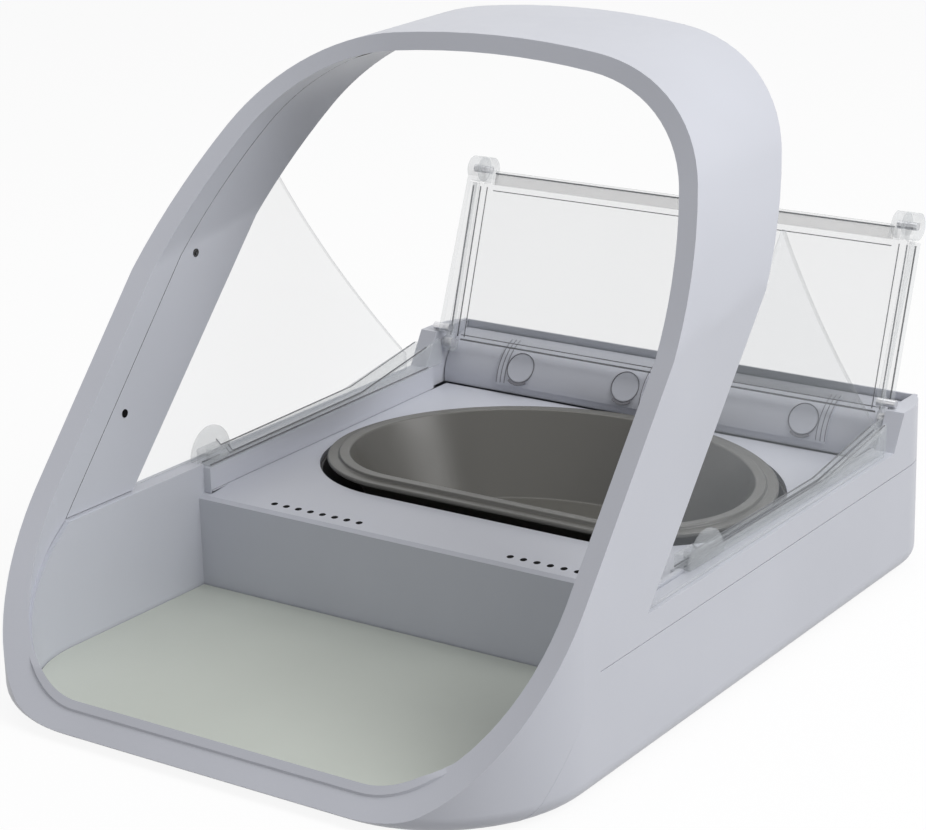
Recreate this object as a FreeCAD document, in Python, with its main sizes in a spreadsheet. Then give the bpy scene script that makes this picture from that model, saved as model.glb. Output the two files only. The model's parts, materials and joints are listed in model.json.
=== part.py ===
"""Automatic pet feeder: a hooped housing with a folding clear lid over a lift-out bowl.

Frame: +Z up, +X right and +Y towards the back; the origin is on the floor under the middle.
"""
import FreeCAD, Part
import Sketcher
import math
import os

from FreeCAD import Placement, Rotation, Vector

X_AXIS = Vector(1, 0, 0)
Y_AXIS = Vector(0, 1, 0)
Z_AXIS = Vector(0, 0, 1)
SIDES = {"left": -1, "right": 1}

# ---------------------------------------------------------------- driving sizes (mm, degrees)
SIZES = {
    # housing plan and hoop
    "body_length": 318, "body_width": 230.8, "hoop_height": 215.5, "rear_width": 220.2,
    "foot_height": 1.5, "front_corner": 55, "rear_corner": 28, "shell_wall": 2.5,
    "hoop_band": 8, "hoop_slope": 0.858, "hoop_depth": 50.2, "hoop_rear_slope": 0.8916,
    "crown_radius": 320, "shoulder_radius": 70.3, "flank_radius": 240, "crown_half_chord": 43,
    "seam_setback": 16, "skirt_depth": 30, "seam_gap": 0.3, "foot_rounding": 7, "inside_rounding": 3,
    # walls, deck and bay
    "seam_level": 43, "rim_level": 52, "wall_level": 53, "rail_inner": 100.5,
    "tray_wall": 2, "bay_width": 209.6, "step_front": -29, "deck_level": 43, "deck_rear": 128.8,
    "bevel_depth": 19, "bevel_drop": 2.5, "floor_plate": 1.5, "tray_plate": 1.4, "mat_thickness": 1.5,
    "vent_radius": 1.3, "vent_pitch": 5.6, "vent_first": 33.1, "vent_back": 6.5, "vent_count": 8,
    # bowl and the well that holds it
    "bowl_half_width": 91, "bowl_front": 5, "bowl_rear": 124, "bowl_corner": 45,
    "bowl_rim_level": 46, "bowl_rim_thickness": 3, "bowl_lip": 7.5, "bowl_foot_level": 13,
    "rim_ledge": 4.5, "rim_ledge_drop": 1.2, "bowl_taper": 15, "bowl_wall": 2.2,
    "opening_gap": 3, "well_taper": 11.5, "well_wall": 1.5, "seat_gap": 0.3,
    # folding lid
    "hinge_back": 131, "hinge_level": 60.2, "lid_lean": 71.8, "rear_panel": 72.6, "front_panel": 66.6,
    "fold_angle": 3.6, "panel_thickness": 2.6, "panel_offset": 1.2, "panel_half_width": 100.6,
    "lid_rib": 3, "hinge_pin_radius": 2, "knuckle_radius": 5.2, "knuckle_inner": 91.5,
    "knuckle_split": 95.8, "knuckle_pin_radius": 1.5, "running_gap": 0.05, "guide_reach": 105.2,
    # rear housing, bar and drive
    "cheek_front": 118, "cheek_level": 65.5, "rear_rounding": 14, "cheek_inner": 102.6, "cheek_wall": 1.5,
    "bar_radius": 18, "bar_back": 148, "bar_level": 44, "bar_half_width": 102,
    "motor_radius": 8, "motor_length": 30, "motor_back": 131.5, "motor_level": 24.9,
    "idler_back": 128.5, "gear_module": 0.6, "pinion_teeth": 12, "idler_teeth": 24,
    "gear_plane": 104.5, "gear_face": 2.2, "axle_radius": 1.6, "shaft_radius": 1,
    "plug_radius": 6.2, "cover_thickness": 0.9, "cover_inner": 7, "cover_outer": 75.5,
    # power and controls
    "cell_radius": 13.1, "cell_length": 50, "cell_back": -11, "cell_level": 17.6,
    "door_half_depth": 13, "door_inner": 10, "door_outer": 92, "door_corner": 3, "door_travel": 8,
    "board_half_width": 60, "board_corner": 2,
    "button_radius": 4, "button_spacing": 28, "button_level": 24, "button_gap": 0.2,
    "foot_radius": 7, "screw_radius": 1.4, "screw_head": 3, "boss_radius": 3.5,
}


class Size:
    """A number together with the spreadsheet expression that gives it."""

    def __init__(self, value, text):
        self.value = value
        self.text = text

    def __add__(self, other):
        other = as_size(other)
        return Size(self.value + other.value, f"({self.text} + {other.text})")

    def __sub__(self, other):
        other = as_size(other)
        return Size(self.value - other.value, f"({self.text} - {other.text})")

    def __mul__(self, other):
        other = as_size(other)
        return Size(self.value * other.value, f"({self.text} * {other.text})")

    def __truediv__(self, other):
        other = as_size(other)
        return Size(self.value / other.value, f"({self.text} / {other.text})")

    def __neg__(self):
        return Size(-self.value, f"(-1 * {self.text})")


def as_size(number):
    """Any plain number as a Size."""
    if isinstance(number, Size):
        return number
    return Size(float(number), f"({float(number)!r})")


doc = FreeCAD.newDocument("pet_feeder")
sheet = doc.addObject("Spreadsheet::Sheet", "Sizes")
for row, (alias, number) in enumerate(SIZES.items(), start=1):
    sheet.set(f"A{row}", alias)
    sheet.set(f"B{row}", str(number))
    sheet.setAlias(f"B{row}", alias)
doc.recompute()


def size(alias):
    """The sheet's value under an alias, as a Size."""
    return Size(float(sheet.get(alias)), f"Sizes.{alias}")


def mm(alias):
    """The sheet's value under an alias, as a plain number."""
    return float(sheet.get(alias))


# ---------------------------------------------------------------- parametric building blocks
def bind(thing, prop, amount):
    """Tie one property of an object to the sheet."""
    thing.setExpression(prop, as_size(amount).text)


def place(thing, x, y, z, rotation=None):
    """Put an object at a point that follows the sheet."""
    turn = rotation or Rotation()
    thing.Placement = Placement(Vector(as_size(x).value, as_size(y).value, as_size(z).value), turn)
    bind(thing, "Placement.Base.x", x)
    bind(thing, "Placement.Base.y", y)
    bind(thing, "Placement.Base.z", z)


def box(name, x_span, y_span, z_span):
    """A block between two positions along each axis."""
    block = doc.addObject("Part::Box", name)
    for prop, (low, high) in zip(("Length", "Width", "Height"), (x_span, y_span, z_span)):
        length = as_size(high) - low
        setattr(block, prop, length.value)
        bind(block, prop, length)
    place(block, x_span[0], y_span[0], z_span[0])
    return block


def side_span(side, near, far):
    """The span along X between two distances from the middle, on one side of it."""
    if side > 0:
        return as_size(near), as_size(far)
    return -as_size(far), -as_size(near)


def rod(name, radius, length, start, axis=Z_AXIS):
    """A round bar from its start point along an axis."""
    bar = doc.addObject("Part::Cylinder", name)
    bar.Radius = as_size(radius).value
    bar.Height = as_size(length).value
    bind(bar, "Radius", radius)
    bind(bar, "Height", length)
    place(bar, *start, rotation=Rotation(Z_AXIS, axis))
    return bar


def fuse(name, pieces):
    """Several objects joined into one."""
    joined = doc.addObject("Part::MultiFuse", name)
    joined.Shapes = pieces
    return joined


def cut(name, base, tools):
    """An object with one or more others taken out of it."""
    tool = tools[0] if len(tools) == 1 else fuse(name + "_tools", tools)
    result = doc.addObject("Part::Cut", name)
    result.Base = base
    result.Tool = tool
    return result


def common(name, pieces):
    """What several objects have in common."""
    shared = doc.addObject("Part::MultiCommon", name)
    shared.Shapes = pieces
    return shared


def rounded_rectangle(sketch, x_span, y_span, radius):
    """Draw a rectangle with equal round corners, its sides and radius tied to the sheet."""
    left, right = (as_size(x).value for x in x_span)
    low, high = (as_size(y).value for y in y_span)
    r = as_size(radius).value
    corners = [(right - r, low + r, -90), (right - r, high - r, 0),
               (left + r, high - r, 90), (left + r, low + r, 180)]
    points = []
    for x, y, start in corners:
        for angle in (start, start + 90):
            turn = math.radians(angle)
            points.append(Vector(x + r * math.cos(turn), y + r * math.sin(turn), 0))
    arcs = []
    lines = []
    for index, (x, y, start) in enumerate(corners):
        circle = Part.Circle(Vector(x, y, 0), Z_AXIS, r)
        arc = Part.ArcOfCircle(circle, math.radians(start), math.radians(start + 90))
        arcs.append(sketch.addGeometry(arc, False))
        line = Part.LineSegment(points[2 * index + 1], points[(2 * index + 2) % 8])
        lines.append(sketch.addGeometry(line, False))
    add = sketch.addConstraint
    make = Sketcher.Constraint
    for index in range(4):
        add(make("Tangent", arcs[index], 2, lines[index], 1))
        add(make("Tangent", lines[index], 2, arcs[(index + 1) % 4], 1))
    for index in (0, 2):
        add(make("Vertical", lines[index]))
        add(make("Horizontal", lines[index + 1]))
    for index in (1, 2, 3):
        add(make("Equal", arcs[0], arcs[index]))
    named = [("corner", make("Radius", arcs[0], r), as_size(radius)),
             ("right", make("DistanceX", -1, 1, lines[0], 1, right), as_size(x_span[1])),
             ("left", make("DistanceX", -1, 1, lines[2], 1, left), as_size(x_span[0])),
             ("high", make("DistanceY", -1, 1, lines[1], 1, high), as_size(y_span[1])),
             ("low", make("DistanceY", -1, 1, lines[3], 1, low), as_size(y_span[0]))]
    for label, constraint, amount in named:
        number = add(constraint)
        sketch.renameConstraint(number, label)
        sketch.setExpression(f"Constraints.{label}", amount.text)


def slab(name, x_span, y_span, radius, z_span):
    """A flat plate with rounded corners: a body with one padded sketch."""
    body = doc.addObject("PartDesign::Body", name)
    plane = [item for item in body.Origin.OriginFeatures if item.Role == "XY_Plane"][0]
    sketch = body.newObject("Sketcher::SketchObject", name + "_outline")
    sketch.AttachmentSupport = (plane, [""])
    sketch.MapMode = "FlatFace"
    rounded_rectangle(sketch, x_span, y_span, radius)
    pad = body.newObject("PartDesign::Pad", name + "_pad")
    pad.Profile = sketch
    thickness = as_size(z_span[1]) - z_span[0]
    pad.Length = thickness.value
    bind(pad, "Length", thickness)
    body.Tip = pad
    place(body, 0, 0, z_span[0])
    return body


def shaped(name, shape):
    """A document object for a shape that is worked out below."""
    feature = doc.addObject("Part::Feature", name)
    feature.Shape = shape
    feature.Placement = shape.Placement
    return feature


def mirrored(shape):
    """The same shape on the other side of the middle."""
    return shape.mirror(Vector(), X_AXIS)


PARTS = []


def keep(thing, label):
    """Name a finished sub-part."""
    thing.Label = label
    PARTS.append(thing)
    return thing


# ---------------------------------------------------------------- housing envelope
HALF_LENGTH = mm("body_length") / 2
HALF_WIDTH = mm("body_width") / 2
FLOOR = mm("foot_height")
SLANT = math.atan(mm("hoop_slope"))
REACH = 2 * mm("body_length")


def front_plane(z, setback=0.0):
    """Where the hoop's slanted front face is at a height, or a surface set back behind it."""
    return -HALF_LENGTH + mm("hoop_slope") * (z - FLOOR) + setback


def rear_plane(z):
    """Where the hoop's slanted rear edge is at a height."""
    return -HALF_LENGTH + mm("hoop_depth") + mm("hoop_rear_slope") * (z - FLOOR)


def arc(centre, radius, start, end):
    """A circular edge in the plan between two angles."""
    angles = (start, (start + end) / 2, end)
    ends = [centre + Vector(radius * math.cos(a), radius * math.sin(a), 0) for a in angles]
    return Part.Arc(*ends).toShape()


def closed_wire(edges):
    """A wire through arcs in order, with straight lines where their ends lie apart."""
    joined = []
    for edge, following in zip(edges, edges[1:] + edges[:1]):
        joined.append(edge)
        here = edge.valueAt(edge.LastParameter)
        there = following.valueAt(following.FirstParameter)
        if here.distanceToPoint(there) > 1e-6:
            joined.append(Part.LineSegment(here, there).toShape())
    return Part.Wire(joined)


def plan_prism(inset, low, high):
    """The upright prism over the housing's plan, inset by a distance all round."""
    front_radius = mm("front_corner")
    rear_radius = mm("rear_corner")
    front = Vector(HALF_WIDTH - front_radius, -HALF_LENGTH + front_radius, 0)
    rear = Vector(mm("rear_width") / 2 - rear_radius, HALF_LENGTH - rear_radius, 0)
    along = rear - front
    heading = math.atan2(along.y, along.x)
    side = heading - math.acos((front_radius - rear_radius) / along.Length)
    front_radius -= inset
    rear_radius -= inset
    front_left = Vector(-front.x, front.y, 0)
    rear_left = Vector(-rear.x, rear.y, 0)
    quarter = math.pi / 2
    edges = [arc(front, front_radius, -quarter, side),
             arc(rear, rear_radius, side, quarter),
             arc(rear_left, rear_radius, quarter, math.pi - side),
             arc(front_left, front_radius, math.pi - side, 3 * quarter)]
    wire = closed_wire(edges)
    wire.translate(Vector(0, 0, low))
    return Part.Face(wire).extrude(Vector(0, 0, high - low))


def dished_prism(inset, low, high, rounding):
    """The prism over the housing's plan with its lower edge rounded."""
    prism = plan_prism(inset, low, high)
    lower = [edge for edge in prism.Edges if edge.BoundBox.ZMax < low + 0.01]
    return prism.makeFillet(rounding, lower)


def arch_prism(inset):
    """The arch of the hoop, drawn on its slanted front plane and run straight back."""
    top = (mm("hoop_height") - FLOOR) / math.cos(SLANT)
    crown = mm("crown_radius")
    shoulder = mm("shoulder_radius")
    flank = mm("flank_radius")
    lean = math.asin(mm("crown_half_chord") / crown)
    crown_centre = Vector(0, top - crown, 0)
    shoulder_centre = crown_centre + Vector(math.sin(lean), math.cos(lean), 0) * (crown - shoulder)
    run = HALF_WIDTH - flank - shoulder_centre.x
    drop = math.sqrt((flank - shoulder) ** 2 - run ** 2)
    flank_centre = Vector(HALF_WIDTH - flank, shoulder_centre.y - drop, 0)
    meet = math.atan2(drop, shoulder_centre.x - flank_centre.x)
    upright = math.pi / 2
    shoulder_left = Vector(-shoulder_centre.x, shoulder_centre.y, 0)
    flank_left = Vector(-flank_centre.x, flank_centre.y, 0)
    half = HALF_WIDTH - inset
    base = -20.0
    edges = [Part.LineSegment(Vector(half, base, 0), Vector(half, flank_centre.y, 0)).toShape(),
             arc(flank_centre, flank - inset, 0, meet),
             arc(shoulder_centre, shoulder - inset, meet, upright - lean),
             arc(crown_centre, crown - inset, upright - lean, upright + lean),
             arc(shoulder_left, shoulder - inset, upright + lean, math.pi - meet),
             arc(flank_left, flank - inset, math.pi - meet, math.pi),
             Part.LineSegment(Vector(-half, flank_centre.y, 0), Vector(-half, base, 0)).toShape()]
    face = Part.Face(closed_wire(edges))
    slant_up = Rotation(X_AXIS, 90 - math.degrees(SLANT))
    face.Placement = Placement(Vector(0, -HALF_LENGTH - mm("body_length"), FLOOR), slant_up)
    return face.extrude(Vector(0, 3 * mm("body_length"), 0))


def side_profile(points, x_low=-200.0, x_high=200.0):
    """A prism across the feeder from its outline in the side view, as (y, z) points."""
    corners = [Vector(x_low, y, z) for y, z in points]
    face = Part.Face(Part.makePolygon(corners + corners[:1]))
    return face.extrude(Vector(x_high - x_low, 0, 0))


def envelope(inset, low, high):
    """The housing's outer form, inset by a distance."""
    return plan_prism(inset, low, high).common(arch_prism(inset))


def ring(outer, inner):
    """The wall between two insets of the housing's form, over its whole height."""
    top = mm("hoop_height")
    return envelope(outer, FLOOR, top + 1).cut(envelope(inner, FLOOR - 1, top + 2))


def slanted_zone(front_setback, z_low, z_high, rear_gap=0.0, rear_setback=None):
    """The slice of space between the hoop's front plane, set back, and its rear edge."""
    def back(z):
        if rear_setback is None:
            return rear_plane(z) - rear_gap
        return front_plane(z, rear_setback)
    return side_profile([(front_plane(z_low, front_setback), z_low), (back(z_low), z_low),
                         (back(z_high), z_high), (front_plane(z_high, front_setback), z_high)])


def block(x_span, y_span, z_span):
    """A plain block as a shape."""
    low = Vector(x_span[0], y_span[0], z_span[0])
    return Part.makeBox(x_span[1] - x_span[0], y_span[1] - y_span[0], z_span[1] - z_span[0], low)


def outer_side(y):
    """Half the housing's width at a place along its tapered side."""
    front_y = -HALF_LENGTH + mm("front_corner")
    rear_y = HALF_LENGTH - mm("rear_corner")
    share = (y - front_y) / (rear_y - front_y)
    return HALF_WIDTH + share * (mm("rear_width") / 2 - HALF_WIDTH)


# ---------------------------------------------------------------- housing shells
SEAM = mm("seam_level")
GAP = mm("seam_gap")
WALL = mm("shell_wall")
BAND = mm("hoop_band")
TOP = mm("hoop_height") + 1
SKIN_INNER = BAND - WALL
RIM = mm("rim_level")
RAIL = mm("rail_inner")
RIM_FRONT = mm("step_front") + 3.7
CHEEK_TOP = mm("cheek_level")
LINER_FOOT = mm("wall_level") + GAP


def hoop_solid():
    """The hoop's skins and front band, with the hollow that holds the aerial."""
    zone = slanted_zone(0, SEAM, TOP).fuse(slanted_zone(0, 0, SEAM, rear_setback=mm("skirt_depth")))
    hoop = ring(0, BAND).common(zone).common(dished_prism(0, FLOOR, TOP, mm("foot_rounding")))
    hollow = ring(WALL, SKIN_INNER).common(slanted_zone(WALL, FLOOR + 2 * WALL, TOP, rear_gap=WALL))
    skirt_hollow = slanted_zone(WALL, 0, SEAM, rear_setback=mm("skirt_depth") - WALL)
    low = hollow.common(block((-200, 200), (-300, 300), (0, SEAM))).common(skirt_hollow)
    high = hollow.common(block((-200, 200), (-300, 300), (SEAM, TOP)))
    hoop = hoop.cut(low).cut(high)
    liner_space = ring(SKIN_INNER, BAND + 1).common(slanted_zone(mm("seam_setback"), LINER_FOOT, TOP + 9))
    return hoop.cut(liner_space)


def rim_solid():
    """The upper side walls: an outer skin with a flange that carries the rails."""
    span = ((RIM_FRONT, SEAM), (mm("cheek_front") + 2, SEAM), (mm("cheek_front") + 2, RIM), (RIM_FRONT, RIM))
    rim = plan_prism(0, SEAM, RIM).common(side_profile(span))
    rim = rim.cut(block((-RAIL, RAIL), (-200, 200), (0, 100)))
    hollow = plan_prism(WALL, SEAM - 1, RIM - 2).cut(block((-RAIL - 2, RAIL + 2), (-200, 200), (0, 100)))
    rim = rim.cut(hollow)
    lead_points = ((front_plane(SEAM, 20), SEAM), (RIM_FRONT, SEAM),
                   (RIM_FRONT, RIM), (front_plane(RIM, 20), RIM))
    lead = plan_prism(0, SEAM, RIM).cut(plan_prism(BAND, SEAM - 1, RIM + 1)).common(side_profile(lead_points))
    lead_hollow = plan_prism(WALL, SEAM - 1, RIM - 2).cut(plan_prism(SKIN_INNER, SEAM - 2, RIM))
    lead_zone = ((rear_plane(SEAM), 0), (RIM_FRONT + 1, 0), (RIM_FRONT + 1, RIM), (rear_plane(SEAM), RIM))
    return rim, lead.cut(lead_hollow.common(side_profile(lead_zone)))


def rear_solid():
    """The raised rear end: its back wall, its top and the hollow cheeks beside the bar."""
    front = mm("cheek_front")
    rounding = mm("rear_rounding")

    def rounded_end(inset_back, inset_top):
        """The points of the round shoulder, from the back wall up to the top."""
        radius = rounding - inset_back
        centre = (HALF_LENGTH - rounding, CHEEK_TOP - inset_top - radius)
        turns = [math.radians(10 * step) for step in range(10)]
        return tuple((centre[0] + radius * math.cos(a), centre[1] + radius * math.sin(a)) for a in turns)

    profile = ((front, SEAM), (HALF_LENGTH, SEAM)) + rounded_end(0, 0)
    profile += ((front + 8, CHEEK_TOP), (front, RIM))
    inside = ((front - 9, SEAM - 1), (HALF_LENGTH - WALL, SEAM - 1)) + rounded_end(WALL, 1)
    inside += ((front + 8.3, CHEEK_TOP - 1), (front + 1, RIM - 2))
    shell = plan_prism(0, SEAM, CHEEK_TOP).common(side_profile(profile))
    shell = shell.cut(plan_prism(WALL, SEAM - 1, CHEEK_TOP - 1).common(side_profile(inside)))
    cheek = mm("cheek_inner")
    open_middle = block((-cheek, cheek), (front - 1, mm("bar_back") + 1), (SEAM - 1, CHEEK_TOP + 1))
    shell = shell.cut(open_middle)
    wall_profile = ((front, SEAM), (mm("bar_back") + 1, SEAM), (mm("bar_back") + 1, CHEEK_TOP),
                    (front + 8, CHEEK_TOP), (front, RIM))
    for side in (-1, 1):
        ends = sorted((side * cheek, side * (cheek + mm("cheek_wall"))))
        shell = shell.fuse(side_profile(wall_profile, *ends))
    pin_hole = Part.makeCylinder(mm("hinge_pin_radius") + mm("running_gap"), 2 * HALF_WIDTH - 12,
                                 Vector(-HALF_WIDTH + 6, mm("hinge_back"), mm("hinge_level")), X_AXIS)
    return shell.cut(pin_hole)


def upper_shell():
    """Hoop, side walls and rear end in one moulding."""
    rim, lead = rim_solid()
    shell = hoop_solid().fuse([lead, rim, rear_solid()]).removeSplitter()
    return keep(shaped("UpperShell", shell), "upper_shell")


def hoop_liner():
    """The inner skin of the hoop behind its seam, with the four sensor holes."""
    liner = ring(SKIN_INNER + 0.1, BAND)
    liner = liner.common(slanted_zone(mm("seam_setback") + GAP, LINER_FOOT + GAP, TOP))
    for lens in sensor_places():
        liner = liner.cut(lens_cylinder(lens, 1.6, 12))
    return keep(shaped("HoopLiner", liner), "hoop_liner")


def sensor_places():
    """Centres of the four sensor lenses on the liner's inner face."""
    places = []
    for side in (-1, 1):
        for y, z in ((-20.3, 133.7), (-63.9, 83.6)):
            places.append(Vector(side * (outer_side(y) - BAND), y, z))
    return places


def lens_cylinder(centre, radius, length):
    """A cylinder across the liner's skin, centred on a sensor."""
    return Part.makeCylinder(radius, length, centre - Vector(length / 2, 0, 0), X_AXIS)


def sensor_lenses():
    """Four dark lenses that look across the hoop."""
    lenses = [lens_cylinder(centre, 1.5, 2.2) for centre in sensor_places()]
    moved = []
    for centre, lens in zip(sensor_places(), lenses):
        lens.translate(Vector(math.copysign(1.0, centre.x), 0, 0))
        moved.append(lens)
    return keep(shaped("SensorLenses", Part.makeCompound(moved)), "sensor_lenses")


def aerial_coil():
    """The flat coil that runs round inside the hoop's front band."""
    coil = ring(WALL + 0.8, SKIN_INNER - 0.6)
    coil = coil.common(slanted_zone(WALL + 1.5, FLOOR + 2 * WALL + 0.5, TOP, rear_setback=WALL + 9))
    return keep(shaped("AerialCoil", coil), "aerial_coil")


def base_shell():
    """The lower shell: floor and side walls up to the seam."""
    shell = dished_prism(0, FLOOR, SEAM - GAP, mm("foot_rounding"))
    floor_top = FLOOR + mm("floor_plate")
    shell = shell.cut(dished_prism(WALL, floor_top, SEAM + 1, mm("inside_rounding")))
    hoop_foot = plan_prism(-1, 0, SEAM).cut(plan_prism(BAND + GAP, -1, SEAM + 1))
    shell = shell.cut(hoop_foot.common(slanted_zone(-200, -1, SEAM, rear_setback=mm("skirt_depth") + GAP)))
    for side in (-1, 1):
        shell = shell.cut(door_space(side))
        middle = Vector(side * mm("button_spacing") / 2, HALF_LENGTH - 8, mm("button_level"))
        hole = Part.makeCylinder(mm("button_radius") + mm("button_gap"), 12, middle, Y_AXIS)
        shell = shell.cut(hole)
    shell = shell.cut(Part.makeCylinder(2, 12, Vector(0, HALF_LENGTH - 8, mm("button_level")), Y_AXIS))
    for x, y in screw_places():
        shell = shell.cut(Part.makeCylinder(mm("screw_head") + 0.1, 9, Vector(x, y, -1)))
    for x in (-50, 50):
        for y in (136, 150):
            post = Part.makeCylinder(2.5, 4.8, Vector(x, y, floor_top))
            shell = shell.fuse(post)
            shell = shell.cut(Part.makeCylinder(1.0, 4, Vector(x, y, floor_top + 1)))
    return keep(shaped("BaseShell", shell.removeSplitter()), "base_shell")


def door_space(side):
    """The opening in the floor for a battery door and its slide."""
    x_span = sorted((side * (mm("door_inner") - 0.3), side * (mm("door_outer") + 0.3)))
    middle = mm("cell_back")
    half = mm("door_half_depth") + 0.3
    y_span = (middle - half, middle + half + mm("door_travel"))
    return block(x_span, y_span, (0, FLOOR + mm("floor_plate") + 0.05))


def screw_places():
    """The four screws that hold the base to the deck's posts."""
    return [(side * 96.2, y) for side in (-1, 1) for y in (22.0, 112.0)]


def inner_tray():
    """The bay's floor and walls, the step, and the deck with its opening for the bowl."""
    floor_low = FLOOR + mm("floor_plate") + 0.2
    floor_high = floor_low + mm("tray_plate")
    step = mm("step_front")
    wall = mm("tray_wall")
    deck = mm("deck_level")
    tray = plan_prism(BAND + GAP, floor_low, floor_high)
    tray = tray.common(block((-200, 200), (-200, step + wall), (0, 50)))
    sides = plan_prism(BAND + GAP, floor_low, mm("wall_level")).cut(plan_prism(BAND + GAP + wall, 0, 99))
    wall_top = mm("wall_level")
    wall_front = ((front_plane(floor_low, 1), floor_low), (front_plane(wall_top / 3, 1), wall_top / 3),
                  (front_plane(wall_top, mm("seam_setback")), wall_top),
                  (RIM_FRONT - 0.2, wall_top), (RIM_FRONT - 0.2, floor_low))
    sides = sides.common(side_profile(wall_front))
    bay = mm("bay_width") / 2
    bevel_y = step + mm("bevel_depth")
    bevel_z = deck - mm("bevel_drop")
    nose = ((step, floor_low), (step, bevel_z), (step + 1.4, bevel_z + 1.2), (bevel_y, deck),
            (bevel_y, deck - wall), (step + wall, bevel_z - 0.6), (step + wall, floor_low))
    front = side_profile(nose, -bay, bay)
    front = front.cut(block((RAIL - 0.3, 200), (RIM_FRONT - 0.2, 200), (0, 99)))
    front = front.cut(block((-200, -RAIL + 0.3), (RIM_FRONT - 0.2, 200), (0, 99)))
    plate = block((-RAIL + 0.3, RAIL - 0.3), (bevel_y, mm("deck_rear")), (deck - wall, deck))
    tray = tray.fuse([sides, front, plate])
    for x, y in screw_places():
        tray = tray.fuse(Part.makeCylinder(mm("boss_radius"), deck - floor_low - 1, Vector(x, y, floor_low)))
    tray = tray.cut(egg_prism(-mm("opening_gap"), deck - 2 * wall, deck + wall))
    for side in (-1, 1):
        for number in range(int(mm("vent_count"))):
            x = side * (mm("vent_first") + number * mm("vent_pitch"))
            tray = tray.cut(Part.makeCylinder(mm("vent_radius"), 20, Vector(x, step + mm("vent_back"), 30)))
    for x, y in screw_places():
        tray = tray.cut(Part.makeCylinder(mm("screw_radius"), 14, Vector(x, y, 0)))
    return keep(shaped("InnerTray", tray.removeSplitter()), "inner_tray")


def egg_outline(inset, level):
    """The bowl's outline: straight at the front, with round corners and half an ellipse behind them."""
    half = mm("bowl_half_width")
    corner = mm("bowl_corner")
    middle = mm("bowl_front") + corner
    ellipse = Part.Ellipse(Vector(0, middle, 0), half - inset, mm("bowl_rear") - middle - inset)
    quarter = math.pi / 2
    edges = [arc(Vector(half - corner, middle, 0), corner - inset, -quarter, 0),
             Part.ArcOfEllipse(ellipse, 0, quarter).toShape(),
             Part.ArcOfEllipse(ellipse, quarter, math.pi).toShape(),
             arc(Vector(corner - half, middle, 0), corner - inset, math.pi, 3 * quarter)]
    wire = closed_wire(edges)
    wire.translate(Vector(0, 0, level))
    return wire


def egg_prism(inset, low, high):
    """An upright prism over the bowl's outline, inset by a distance."""
    return Part.Face(egg_outline(inset, low)).extrude(Vector(0, 0, high - low))


def egg_taper(inset, top, taper, foot):
    """A tapered solid under the bowl's outline."""
    return Part.makeLoft([egg_outline(inset, top), egg_outline(inset + taper, foot)], True, True)


# ---------------------------------------------------------------- bay, well and bowl
def feeding_mat():
    """The soft mat on the bay floor."""
    low = FLOOR + mm("floor_plate") + 0.2 + mm("tray_plate") + 0.1
    mat = plan_prism(BAND + GAP + mm("tray_wall") + 0.3, low, low + mm("mat_thickness"))
    mat = mat.common(block((-200, 200), (-200, mm("step_front") - 0.4), (0, 50)))
    return keep(shaped("FeedingMat", mat), "feeding_mat")


def bowl():
    """The lift-out bowl: a tapered wall under a broad rim with a lower ledge round its outside."""
    top = mm("bowl_rim_level")
    rim_low = top - mm("bowl_rim_thickness")
    foot = mm("bowl_foot_level")
    ledge = mm("rim_ledge")
    ledge_top = top - mm("rim_ledge_drop")
    inner = mm("bowl_lip") + mm("bowl_wall") / 2
    rim = egg_prism(0, rim_low, ledge_top).fuse(egg_prism(ledge, rim_low, top))
    whole = rim.fuse(egg_taper(mm("bowl_lip"), rim_low, mm("bowl_taper"), foot))
    hollow = egg_taper(inner, top + 0.01, mm("bowl_taper"), foot + mm("bowl_wall"))
    return keep(shaped("BowlSolid", whole.cut(hollow)), "bowl")


def bowl_well():
    """The dark pan under the deck that the bowl stands in."""
    top = mm("deck_level") - mm("tray_wall") - 0.1
    floor = mm("bowl_foot_level") - mm("seat_gap")
    wall = mm("well_wall")
    edge = -mm("opening_gap") - 0.5
    whole = egg_prism(edge - 1, top - wall, top).fuse(egg_taper(edge, top, mm("well_taper"), floor - wall))
    hollow = egg_taper(edge + wall, top + 0.01, mm("well_taper"), floor)
    return keep(shaped("WellSolid", whole.cut(hollow)), "bowl_well")


# ---------------------------------------------------------------- rails and shields
RAIL_FLOOR = RIM + 0.15


def track(side):
    """One clear rail: a groove between a low inner wall and a higher outer wall."""
    low = RAIL_FLOOR
    front = mm("step_front") + 4.5
    rear = 127.0
    inner_top = ((front, 57.2), (front + 12, 57.2), (front + 14, 53.9), (72, 54.2), (106, 59.4), (rear, 62.6))
    outer_top = ((front, 58), (front + 12, 58), (front + 14, 55.4), (66, 56), (106, 61.6), (rear, 64.2))
    groove = ((front + 4, 53.1), (72, 53.2), (106, 58.0), (rear + 1, 61.4), (rear + 1, 80), (front + 4, 80))

    def wall(points, x_low, x_high):
        return side_profile(((rear, low), (front, low)) + points, x_low, x_high)

    rail = wall(inner_top, RAIL + 0.4, 106.2).fuse(wall(outer_top, 106.0, 107.3))
    rail = rail.cut(side_profile(groove, 102.2, 106.1))
    cheek = mm("cheek_front") - 0.4
    rail = rail.cut(block((mm("cheek_inner") - 0.3, 120), (cheek, 200), (0, 100)))
    if side < 0:
        rail = mirrored(rail)
    name = "left_track" if side < 0 else "right_track"
    return keep(shaped(name.title().replace("_", ""), rail), name)


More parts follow.
